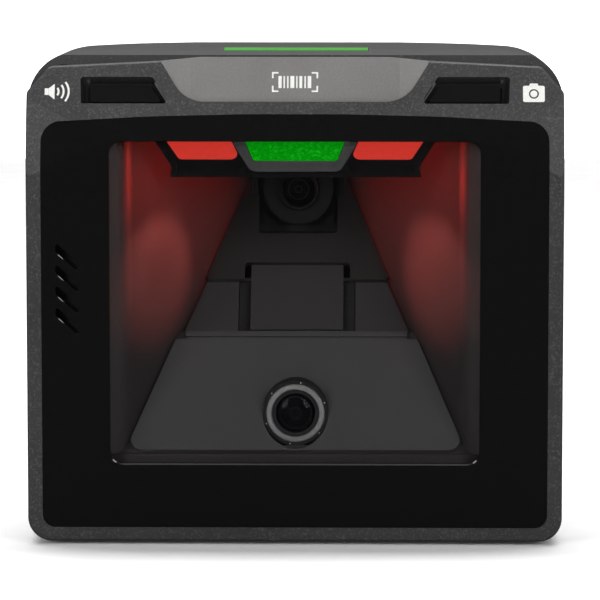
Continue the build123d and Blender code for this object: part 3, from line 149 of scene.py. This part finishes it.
def polish_recesses(material, polished, gloss, x_range, v_range, skin_depth):
    """The two button recesses are polished: a mask of x, of height and of depth on the slope."""
    nodes, links = material.node_tree.nodes, material.node_tree.links

    def sums(operation, first, second):
        node = nodes.new("ShaderNodeMath")
        node.operation = operation
        for socket, value in zip(node.inputs, (first, second)):
            if isinstance(value, float):
                socket.default_value = value
            else:
                links.new(value, socket)
        return node.outputs[0]

    def along(direction):
        node = nodes.new("ShaderNodeVectorMath")
        node.operation = "DOT_PRODUCT"
        links.new(place.outputs["Object"], node.inputs[0])
        node.inputs[1].default_value = direction
        return sums("SUBTRACT", node.outputs["Value"], kink.dot(direction))

    place = nodes.new("ShaderNodeTexCoord")
    reach = sums("ABSOLUTE", along(Vector((1, 0, 0))), 0.0)
    mask = sums("GREATER_THAN", along(into_slope), skin_depth)
    for value, (low, high) in ((reach, x_range), (along(up_slope), v_range)):
        mask = sums("MULTIPLY", mask, sums("GREATER_THAN", value, low))
        mask = sums("MULTIPLY", mask, sums("LESS_THAN", value, high))
    shader = nodes["Principled BSDF"]
    colour, rough = (shader.inputs[name].links[0].from_socket for name in ("Base Color", "Roughness"))
    links.new(mix_colours(material, mask, colour, polished), shader.inputs["Base Color"])
    plain = sums("SUBTRACT", 1.0, mask)
    links.new(sums("ADD", sums("MULTIPLY", rough, plain), sums("MULTIPLY", mask, gloss)),
              shader.inputs["Roughness"])
    relief = shader.inputs["Normal"].links[0].from_node
    height = relief.inputs["Height"].links[0].from_socket
    links.new(sums("MULTIPLY", height, plain), relief.inputs["Height"])


polish_recesses(bezel_charcoal, polished=(0.010, 0.010, 0.010), gloss=0.12,
                x_range=(35.2 * MM, 59.9 * MM), v_range=(10.8 * MM, 19.0 * MM), skin_depth=0.06 * MM)
coat(bezel_charcoal, "front_bezel")


# ---- Gloss panel and button caps -----------------------------------------------------
# The panel round the window and the two caps are polished black ABS. The panel is taped
# into the bezel, and each cap slides in its own opening.
polished_black = finish("polished black", (0.0030, 0.0028, 0.0028), (0.0042, 0.0039, 0.0039), (0.07, 0.11),
                        grain_scale=700.0, cloud_scale=35.0, bump=0.01, IOR=1.42)
coat(polished_black, "gloss_panel")
coat(finish("cap black", (0.0030, 0.0030, 0.0030), (0.0050, 0.0050, 0.0050), (0.12, 0.18), bump=0.03),
     "volume_button", "camera_button")


# ---- Ink on the forehead -------------------------------------------------------------
# A loudspeaker and a camera are pad printed in off-white beside the buttons, and a plain
# scan mark is printed in the middle of the badge plate. The ink is a thin raised film.
INK_THICK = 0.04                          # mm, as all the drawing of the ink is
INK_LIFT = 0.02                           # keeps the film clear of the skin below it
BADGE_SINK = 1.2
white_ink = finish("off-white ink", (0.66, 0.66, 0.63), (0.78, 0.78, 0.75), (0.4, 0.55), grain_scale=3000.0)


def plate(bm, x0, x1, v0, v1, slant=0.0):
    """Thin rectangle of ink, in mm on the slope. A slant widens its right end."""
    made = bmesh.ops.create_cube(bm, size=1.0)["verts"]
    bmesh.ops.scale(bm, vec=(x1 - x0, v1 - v0, INK_THICK), verts=made)
    bmesh.ops.translate(bm, vec=((x0 + x1) / 2, (v0 + v1) / 2, INK_THICK / 2), verts=made)
    if slant:
        for vert in made:
            if vert.co.x > (x0 + x1) / 2:
                vert.co.y += slant if vert.co.y > (v0 + v1) / 2 else -slant
    return made


def arc(bm, x, v, radius, width, half_sweep):
    """Curved stroke of ink that opens to the left: an upright rectangle spun about x, v."""
    middle = radius * Vector((cos(half_sweep), -sin(half_sweep), 0))
    made = bmesh.ops.create_grid(bm, x_segments=1, y_segments=1, size=0.5)["verts"]
    bmesh.ops.scale(bm, vec=(width, INK_THICK, 1), verts=made)
    bmesh.ops.rotate(bm, matrix=Matrix.Rotation(pi / 2, 3, "X"), verts=made)
    bmesh.ops.rotate(bm, matrix=Matrix.Rotation(-half_sweep, 3, "Z"), verts=made)
    bmesh.ops.translate(bm, vec=middle + Vector((x, v, INK_THICK / 2)), verts=made)
    faces = list({face for vert in made for face in vert.link_faces})
    bmesh.ops.spin(bm, geom=faces + list({e for f in faces for e in f.edges}) + made, cent=(x, v, 0),
                   axis=(0, 0, 1), angle=2 * half_sweep, steps=13)


def new_piece(name, bm, material, body="scanner", smooth=False):
    """Turn a bmesh into a piece that rides on a body."""
    mesh = bpy.data.meshes.new(name)
    bm.to_mesh(mesh)
    bm.free()
    mesh.materials.append(material)
    if smooth:
        mesh.shade_smooth()
    piece = bpy.data.objects.new(name, mesh)
    bpy.context.scene.collection.objects.link(piece)
    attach(piece, body)
    return piece


def ink_piece(name, bm, sink=0.0):
    """Put ink drawn in mm on the slope, lifted clear of the moulding below it."""
    bmesh.ops.translate(bm, vec=(0, 0, INK_LIFT - sink), verts=bm.verts)
    bmesh.ops.scale(bm, vec=(MM, MM, MM), verts=bm.verts)
    bmesh.ops.remove_doubles(bm, verts=bm.verts, dist=0.001 * MM)
    bmesh.ops.recalc_face_normals(bm, faces=bm.faces)
    bmesh.ops.transform(bm, matrix=SLOPE, verts=bm.verts)
    return new_piece(name, bm, white_ink)


magnet_left, magnet_right, horn_left, horn_right, volume_v = -69.35, -68.25, -68.2, -66.6, 14.4
wave_x, wave_width, wave_half_sweep = -67.2, 0.55, radians(38)
horn = bmesh.new()
plate(horn, magnet_left, magnet_right, volume_v - 0.95, volume_v + 0.95)
plate(horn, horn_left, horn_right, volume_v - 1.0, volume_v + 1.0, slant=1.25)
for radius in (1.7, 3.1, 4.5):
    arc(horn, wave_x, volume_v, radius, wave_width, wave_half_sweep)
ink_piece("volume_icon", horn)

camera_x, camera_v = 66.1, 13.85
body_half_w, body_half_h, body_square, ring_outer, ring_inner = 3.0, 2.35, 12.0, 1.39, 0.98
hump_half_w, hump_tall, hump_lap, hump_taper = 1.35, 0.65, 0.1, 0.75
camera_ink = bmesh.new()
bmesh.ops.create_circle(camera_ink, radius=ring_outer, segments=64)
for vert in bmesh.ops.create_circle(camera_ink, radius=1.0, segments=64)["verts"]:
    # a circle squared off into the round-cornered body of the camera
    vert.co.x = copysign(body_half_w * abs(vert.co.x) ** (2 / body_square), vert.co.x)
    vert.co.y = copysign(body_half_h * abs(vert.co.y) ** (2 / body_square), vert.co.y)
bmesh.ops.bridge_loops(camera_ink, edges=camera_ink.edges[:])
bmesh.ops.create_circle(camera_ink, cap_ends=True, radius=ring_inner, segments=48)
film = bmesh.ops.extrude_face_region(camera_ink, geom=camera_ink.faces[:])["geom"]
film_verts = [part for part in film if isinstance(part, bmesh.types.BMVert)]
bmesh.ops.translate(camera_ink, vec=(0, 0, INK_THICK), verts=film_verts)
bmesh.ops.translate(camera_ink, vec=(camera_x, camera_v, 0), verts=camera_ink.verts)
body_top = camera_v + body_half_h
hump = plate(camera_ink, camera_x - hump_half_w, camera_x + hump_half_w,
             body_top - hump_lap, body_top + hump_tall)
for vert in hump:
    if vert.co.y > body_top:
        vert.co.x = camera_x + (vert.co.x - camera_x) * hump_taper
ink_piece("camera_icon", camera_ink)

mark = bmesh.new()
mark_v, mark_half_w, mark_half_h, corner, stroke = 17.6, 6.4, 2.9, 1.8, 0.45
bar_left, bar_half_h = -4.6, 1.75
for x_hand in (-1, 1):
    for v_hand in (-1, 1):
        x, v = x_hand * mark_half_w, mark_v + v_hand * mark_half_h
        plate(mark, *sorted((x, x - x_hand * corner)), *sorted((v, v - v_hand * stroke)))
        plate(mark, *sorted((x, x - x_hand * stroke)), *sorted((v - v_hand * stroke, v - v_hand * corner)))
for width, space in ((0.9, 0.5), (0.4, 0.6), (0.4, 0.5), (1.1, 0.5),
                     (0.4, 0.5), (0.8, 0.6), (0.4, 0.5), (1.0, 0.0)):
    plate(mark, bar_left, bar_left + width, mark_v - bar_half_h, mark_v + bar_half_h)
    bar_left += width + space
ink_piece("scan_mark", mark, sink=BADGE_SINK)


# ---- Badge plate ---------------------------------------------------------------------
# A satin silver painted plate lies sunk in the middle of the forehead. It is taped into
# its pocket, and its ends ramp up flush with the bezel.
coat(finish("satin silver paint", (0.185, 0.181, 0.177), (0.228, 0.223, 0.218), (0.34, 0.44),
            grain_scale=3200.0, bump=0.12, Metallic=0.35),
     "badge_plate")


# ---- Clear pane and its gasket -------------------------------------------------------
# The exit window is a clear coated pane, taped over the opening from behind, with a soft
# black gasket between the pane and the funnel. It only shows where it is seen edge on.
pane_finish = finish("coated clear pane", (0.010, 0.010, 0.011), (0.014, 0.014, 0.015), (0.02, 0.05),
                     bump=0.0)
facing = pane_finish.node_tree.nodes.new("ShaderNodeLayerWeight")
facing.inputs["Blend"].default_value = 0.25
edge_on = spread(pane_finish, facing.outputs["Fresnel"], 0.06, 0.85, start=0.05, end=1.0)
pane_finish.node_tree.links.new(edge_on, pane_finish.node_tree.nodes["Principled BSDF"].inputs["Alpha"])
coat(pane_finish, "exit_window")
coat(finish("soft black rubber", (0.012, 0.012, 0.012), (0.022, 0.022, 0.022), (0.7, 0.9), bump=0.2),
     "window_gasket", "rubber_feet", "speaker_gasket")


# ---- Rear housing and base -----------------------------------------------------------
# One deep satin charcoal moulding closes the back and the crown, and a flat plate of the
# same plastic closes the underside with four screws and four feet.
# its few bright flecks are painted glints of the grain, as on the bezel
charcoal_shell = finish("satin charcoal", (0.022, 0.021, 0.021), (0.038, 0.036, 0.036), (0.42, 0.54),
                        grain_scale=MOULD_GRAIN, fleck=0.05, fleck_colour=(0.07, 0.067, 0.067), bump=0.4,
                        IOR=1.4)
coat(charcoal_shell, "rear_housing", "base_plate")


# ---- Light bar on the crown ----------------------------------------------------------
# A clear green light pipe shows as a thin lit strip just behind the crest of the crown.
coat(finish("lit green bar", (0.02, 0.14, 0.02), (0.03, 0.20, 0.03), (0.3, 0.4), grain_scale=900.0, IOR=1.3,
            Emission_Color=(0.08, 0.38, 0.035, 1.0), Emission_Strength=0.42), "top_light_pipe")


# ---- Viewing funnel ------------------------------------------------------------------
# The funnel behind the window is a satin black moulding. Its floor is made of three
# separate dark plates, clipped to ledges, that rise steeply to the scan camera's tunnel.
coat(finish("satin funnel black", (0.026, 0.0225, 0.022), (0.034, 0.030, 0.029), (0.38, 0.48),
            grain_scale=1500.0, bump=0.08), "optics_shroud")
coat(finish("upper plate black", (0.018, 0.0168, 0.0165), (0.023, 0.0215, 0.021), (0.4, 0.5), bump=0.08),
     "upper_panel")
coat(finish("middle plate grey", (0.034, 0.032, 0.033), (0.042, 0.040, 0.041), (0.36, 0.46), bump=0.08),
     "middle_panel")
coat(finish("lower plate grey", (0.054, 0.054, 0.054), (0.066, 0.066, 0.066), (0.4, 0.5), bump=0.1),
     "lower_camera_panel")


# ---- Painted shade strips ------------------------------------------------------------
# Two near-black strips lie in the two deep grooves of the middle plate. They are painted
# shade: a dark sheet put where the grooves are shaded. Each strip lies just clear of its groove's floor.
FLOOR_SLOPE = atan(1.26)                  # the funnel's floor rises from this edge
floor_edge = Vector((0.0, -34.1, 26.0)) * MM
FLOOR = Matrix.Translation(floor_edge) @ Matrix.Rotation(FLOOR_SLOPE, 4, "X")
groove_x, groove_floor, sheet_lift = 15.05, -4.75, 0.05
shade_sheet_w, shade_sheet_thick, shade_sheet_low, shade_sheet_high, shade_sheet_round = 3.3, 2.6, 40.2, 57.2, 0.25
shade_sheet = bmesh.new()
for hand in (-1, 1):
    strip = bmesh.ops.create_cube(shade_sheet, size=1.0)["verts"]
    place = Vector((hand * groove_x, (shade_sheet_low + shade_sheet_high) / 2, groove_floor + sheet_lift + shade_sheet_thick / 2))
    bmesh.ops.scale(shade_sheet, vec=Vector((shade_sheet_w, shade_sheet_high - shade_sheet_low, shade_sheet_thick)) * MM, verts=strip)
    bmesh.ops.translate(shade_sheet, vec=place * MM, verts=strip)
bmesh.ops.bevel(shade_sheet, geom=shade_sheet.edges[:], offset=shade_sheet_round * MM, segments=2, affect="EDGES", profile=0.5,
                material=-1)
bmesh.ops.transform(shade_sheet, matrix=FLOOR, verts=shade_sheet.verts)
# near-black colour of the groove strips: painted shade, not a real lining
groove_shade_finish = finish("painted groove shade black", (0.004, 0.004, 0.004), (0.010, 0.0095, 0.0095), (0.8, 0.95),
                    grain_scale=3200.0, bump=0.9)
new_piece("groove_shade_sheet", shade_sheet, groove_shade_finish)


# ---- Cameras -------------------------------------------------------------------------
# Each camera is a black barrel with a coated front lens. The lower one sits in a round
# holder behind a satin grey trim ring, and the scan camera looks out of the tunnel.
barrel_black = finish("anodised black", (0.006, 0.006, 0.006), (0.011, 0.011, 0.011), (0.4, 0.55), bump=0.1)
coat(barrel_black, "camera_holder", "camera_lens_barrel", "scan_lens_barrel", "scan_lens_mount",
     "scan_tunnel")
coat(finish("satin grey anodising", (0.19, 0.19, 0.19), (0.24, 0.24, 0.24), (0.35, 0.45), grain_scale=3500.0,
            bump=0.1), "camera_trim_ring")


def lens_finish(name, z, rings, tint):
    """Coated glass over black cells: faint rings round the lens axis, which runs along Y."""
    material = finish(name, (0.002, 0.002, 0.0025), (0.004, 0.004, 0.005), (0.03, 0.06), bump=0.0, IOR=1.12)
    nodes, links = material.node_tree.nodes, material.node_tree.links
    place, centre = nodes.new("ShaderNodeTexCoord"), nodes.new("ShaderNodeMapping")
    centre.vector_type = "POINT"
    centre.inputs["Location"].default_value = (0.0, 0.0, -z)
    wave = nodes.new("ShaderNodeTexWave")
    wave.wave_type = "RINGS"
    wave.rings_direction = "Y"
    wave.inputs["Scale"].default_value = rings
    links.new(place.outputs["Object"], centre.inputs["Vector"])
    links.new(centre.outputs["Vector"], wave.inputs["Vector"])
    shader = nodes["Principled BSDF"]
    old = shader.inputs["Base Color"].links[0].from_socket
    thin = spread(material, wave.outputs["Fac"], 0.0, 1.0, start=0.86, end=1.0)
    links.new(mix_colours(material, thin, old, tint), shader.inputs["Base Color"])
    return material


camera_z, scan_z = 35.45, 95.0
coat(lens_finish("camera lens glass", camera_z * MM, 105.0, (0.010, 0.010, 0.012)), "camera_front_lens")
coat(lens_finish("scan lens glass", scan_z * MM, 160.0, (0.022, 0.020, 0.020)), "scan_front_lens")

# Six small pins ring the lower camera's holder. Their pale colour is a painted glint, so that they show as
# bright specks.
pin_circle, pin_r, pin_dome, pin_front, pin_count, first_pin = 8.72, 0.2, 0.4, -27.62, 6, radians(20)
pins = bmesh.new()
for number in range(pin_count):
    turn = first_pin + number * 2 * pi / pin_count
    place = Vector((pin_circle * cos(turn), pin_front, camera_z + pin_circle * sin(turn)))
    made = bmesh.ops.create_icosphere(pins, subdivisions=2, radius=pin_r * MM)["verts"]
    bmesh.ops.scale(pins, vec=(1, pin_dome, 1), verts=made)
    bmesh.ops.translate(pins, vec=place * MM, verts=made)
new_piece("camera_holder_pins", pins, finish("pale pin painted as glint", (0.5, 0.5, 0.5), (0.7, 0.7, 0.7), (0.15, 0.25)),
          smooth=True)


# ---- Lamp hood -----------------------------------------------------------------------
# The hood under the funnel's roof holds two red diffusers and, in a satin grey bezel, the
# green indicator, whose lens is filled with fine sparkle. All three are lit.
coat(finish("hood black", (0.006, 0.006, 0.006), (0.010, 0.010, 0.010), (0.36, 0.46), bump=0.1, IOR=1.3),
     "led_hood")
coat(finish("hood grey", (0.072, 0.072, 0.072), (0.090, 0.090, 0.090), (0.3, 0.4), bump=0.1),
     "indicator_bezel")
coat(finish("lit red diffuser", (0.36, 0.03, 0.02), (0.42, 0.04, 0.025), (0.4, 0.5), grain_scale=800.0,
            Emission_Color=(0.62, 0.024, 0.015, 1.0), Emission_Strength=0.72),
     "left_red_diffuser", "right_red_diffuser")
coat(finish("lit green lens", (0.0, 0.10, 0.001), (0.0, 0.28, 0.003), (0.12, 0.2), grain_scale=1500.0,
            fleck=0.35, fleck_colour=(0.01, 0.44, 0.012), bump=0.6, IOR=1.25,
            Emission_Color=(0.0, 0.25, 0.001, 1.0), Emission_Strength=0.68), "green_indicator_lens")


# ---- Works inside --------------------------------------------------------------------
# Boards, sensors, ribbons, the loudspeaker and their fixings are closed in. They show
# only through the vents, the sockets and the speaker slots.
coat(finish("green board", (0.012, 0.085, 0.028), (0.020, 0.120, 0.040), (0.3, 0.45), grain_scale=600.0),
     "led_board", "top_led_board", "main_board", "button_boards")
coat(finish("black board", (0.006, 0.006, 0.006), (0.010, 0.010, 0.010), (0.4, 0.55), grain_scale=600.0),
     "scan_imager_board", "camera_board")
coat(finish("moulded package", (0.014, 0.014, 0.015), (0.024, 0.024, 0.025), (0.3, 0.45)),
     "scan_sensor", "camera_sensor", "red_leds", "green_leds", "button_switches",
     "volume_switch_plunger", "camera_switch_plunger")
coat(finish("tinned steel", (0.42, 0.42, 0.41), (0.52, 0.52, 0.50), (0.25, 0.4), cloud_scale=200.0,
            Metallic=1.0),
     "camera_bracket", "processor_shield", "usb_port", "speaker_magnet")
coat(finish("black nylon", (0.014, 0.014, 0.014), (0.024, 0.024, 0.024), (0.45, 0.6), bump=0.15),
     "host_port", "eas_port", "power_jack", "speaker_frame", "speaker_cone")
coat(finish("amber ribbon", (0.33, 0.15, 0.03), (0.40, 0.19, 0.04), (0.25, 0.35)),
     "imager_flex", "camera_flex", "led_flex")
coat(finish("woven black mesh", (0.004, 0.004, 0.004), (0.014, 0.014, 0.014), (0.7, 0.9), grain_scale=2600.0,
            bump=0.6), "speaker_cloth")
coat(finish("zinc plated steel", (0.30, 0.30, 0.31), (0.40, 0.40, 0.41), (0.25, 0.4), Metallic=1.0),
     "housing_screws", "shroud_screws", "board_screws", "base_screws")
coat(finish("turned brass", (0.55, 0.38, 0.13), (0.68, 0.48, 0.18), (0.22, 0.36), Metallic=1.0),
     "threaded_inserts")


# ---- Studio --------------------------------------------------------------------------
# A plain white sweep, soft boxes above and to both sides, and the lamps' own red beams
# inside the funnel.
def stage_piece(name, bm, material):
    """Paper of the studio: it lights the pieces but is kept out of their gloss."""
    mesh = bpy.data.meshes.new(name)
    bm.to_mesh(mesh)
    bm.free()
    mesh.materials.append(material)
    piece = bpy.data.objects.new(name, mesh)
    bpy.context.scene.collection.objects.link(piece)
    piece.visible_glossy = False


sweep = bmesh.new()
bmesh.ops.create_grid(sweep, x_segments=1, y_segments=1, size=1.0)
bmesh.ops.scale(sweep, vec=(2.0, 1.3, 1.0), verts=sweep.verts)
bmesh.ops.translate(sweep, vec=(0.0, 0.3, 0.0), verts=sweep.verts)
floor_paper = finish("white floor", (0.86, 0.86, 0.86), (0.90, 0.90, 0.90), (0.7, 0.9), grain_scale=40.0,
                     cloud_scale=3.0, bump=0.0, Emission_Color=(1, 1, 1, 1), Emission_Strength=0.02)
stage_piece("studio_floor", sweep, floor_paper)
wall = bmesh.new()
bmesh.ops.create_grid(wall, x_segments=1, y_segments=1, size=2.0)
bmesh.ops.rotate(wall, matrix=Matrix.Rotation(pi / 2, 3, "X"), verts=wall.verts)
bmesh.ops.translate(wall, vec=(0.0, 1.6, 1.9), verts=wall.verts)
wall_paper = finish("white wall", (0.9, 0.9, 0.9), (0.92, 0.92, 0.92), (0.8, 0.9), grain_scale=40.0,
                    cloud_scale=3.0, bump=0.0, Emission_Color=(1, 1, 1, 1), Emission_Strength=1.0)
stage_piece("studio_wall", wall, wall_paper)


def aim(thing, position, target):
    """Place a lamp or the camera and point it at its target."""
    thing.location = position
    thing.rotation_euler = (Vector(target) - Vector(position)).to_track_quat("-Z", "Y").to_euler()


def soft_box(name, position, target, width, height, power, receivers=None):
    """Rectangular lamp. With receivers it lights only the pieces in that collection."""
    light = bpy.data.lights.new(name, "AREA")
    light.shape, light.size, light.size_y, light.energy = "RECTANGLE", width, height, power
    lamp = bpy.data.objects.new(name, light)
    bpy.context.scene.collection.objects.link(lamp)
    lamp.light_linking.receiver_collection = receivers
    aim(lamp, position, target)


middle = (0.0, 0.0, 0.07)
overhead_y = 0.16
soft_box("overhead_box", (0.0, overhead_y, 1.25), (0.0, overhead_y, 0.0), width=1.4, height=0.2, power=15.5)
soft_box("rim_strip", (0.0, -0.17, 1.25), middle, width=1.2, height=0.1, power=1.3)
soft_box("front_box", (0.0, -0.75, 1.35), middle, width=1.2, height=0.3, power=1.6)
soft_box("left_box", (-0.72, -1.0, 0.5), middle, width=0.4, height=0.6, power=6.4)
soft_box("right_box", (0.72, -1.0, 0.5), middle, width=0.4, height=0.6, power=6.4)
soft_box("back_box", (0.0, 0.84, 1.0), middle, width=1.2, height=0.7, power=3.4)

# bright panels high at the sides draw the bevels of the speaker slots and of the button caps
glossy_pieces = bpy.data.collections.new("glossy_pieces")
for piece_name in ("gloss_panel", "volume_button", "camera_button"):
    glossy_pieces.objects.link(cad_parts[piece_name])
for side, hand in (("left", -1), ("right", 1)):
    soft_box(f"{side}_edge_box", (hand * 0.86, -0.06, 1.02), middle, width=0.8, height=0.5, power=9.0,
             receivers=glossy_pieces)

# each red beam crosses under the hood and washes the far wall of the funnel, not its floor
wall_only = bpy.data.collections.new("funnel_walls")
wall_only.objects.link(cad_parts["optics_shroud"])
beam_start = Vector((27.0, -25.0, 99.5)) * MM
for label, target, half_angle, blend, power, colour in (
        ("wash", Vector((35.0, -3.0, 96.0)) * MM, radians(33.0), 0.9, 0.22, (1.0, 0.04, 0.025)),
        ("core", Vector((40.5, -17.0, 73.0)) * MM, radians(16.0), 0.8, 0.45, (1.0, 0.20, 0.17))):
    for side, hand in (("left", -1), ("right", 1)):
        beam = bpy.data.lights.new(f"{side}_{label}_beam", "SPOT")
        beam.energy, beam.color, beam.shadow_soft_size = power, colour, 1.2 * MM
        beam.spot_size, beam.spot_blend = 2 * half_angle, blend
        lamp = bpy.data.objects.new(f"{side}_{label}_beam", beam)
        bpy.context.scene.collection.objects.link(lamp)
        lamp.light_linking.receiver_collection = wall_only
        lamp.light_linking.blocker_collection = wall_only
        aim(lamp, beam_start * Vector((-hand, 1, 1)), target * Vector((hand, 1, 1)))

world = bpy.data.worlds.new("studio air")
world.use_nodes = True
air = world.node_tree.nodes["Background"]
air.inputs["Color"].default_value = (0.8, 0.82, 0.85, 1.0)
air.inputs["Strength"].default_value = 0.07
bpy.context.scene.world = world
bpy.context.scene.view_settings.view_transform = "Standard"

camera_data = bpy.data.cameras.new("camera")
camera_data.lens, camera_data.sensor_width = 216.5, 36.0
camera = bpy.data.objects.new("camera", camera_data)
bpy.context.scene.collection.objects.link(camera)
aim(camera, (0.01885, -1.03437, 0.17334), (0.0015, -0.040, 0.06881))
bpy.context.scene.camera = camera
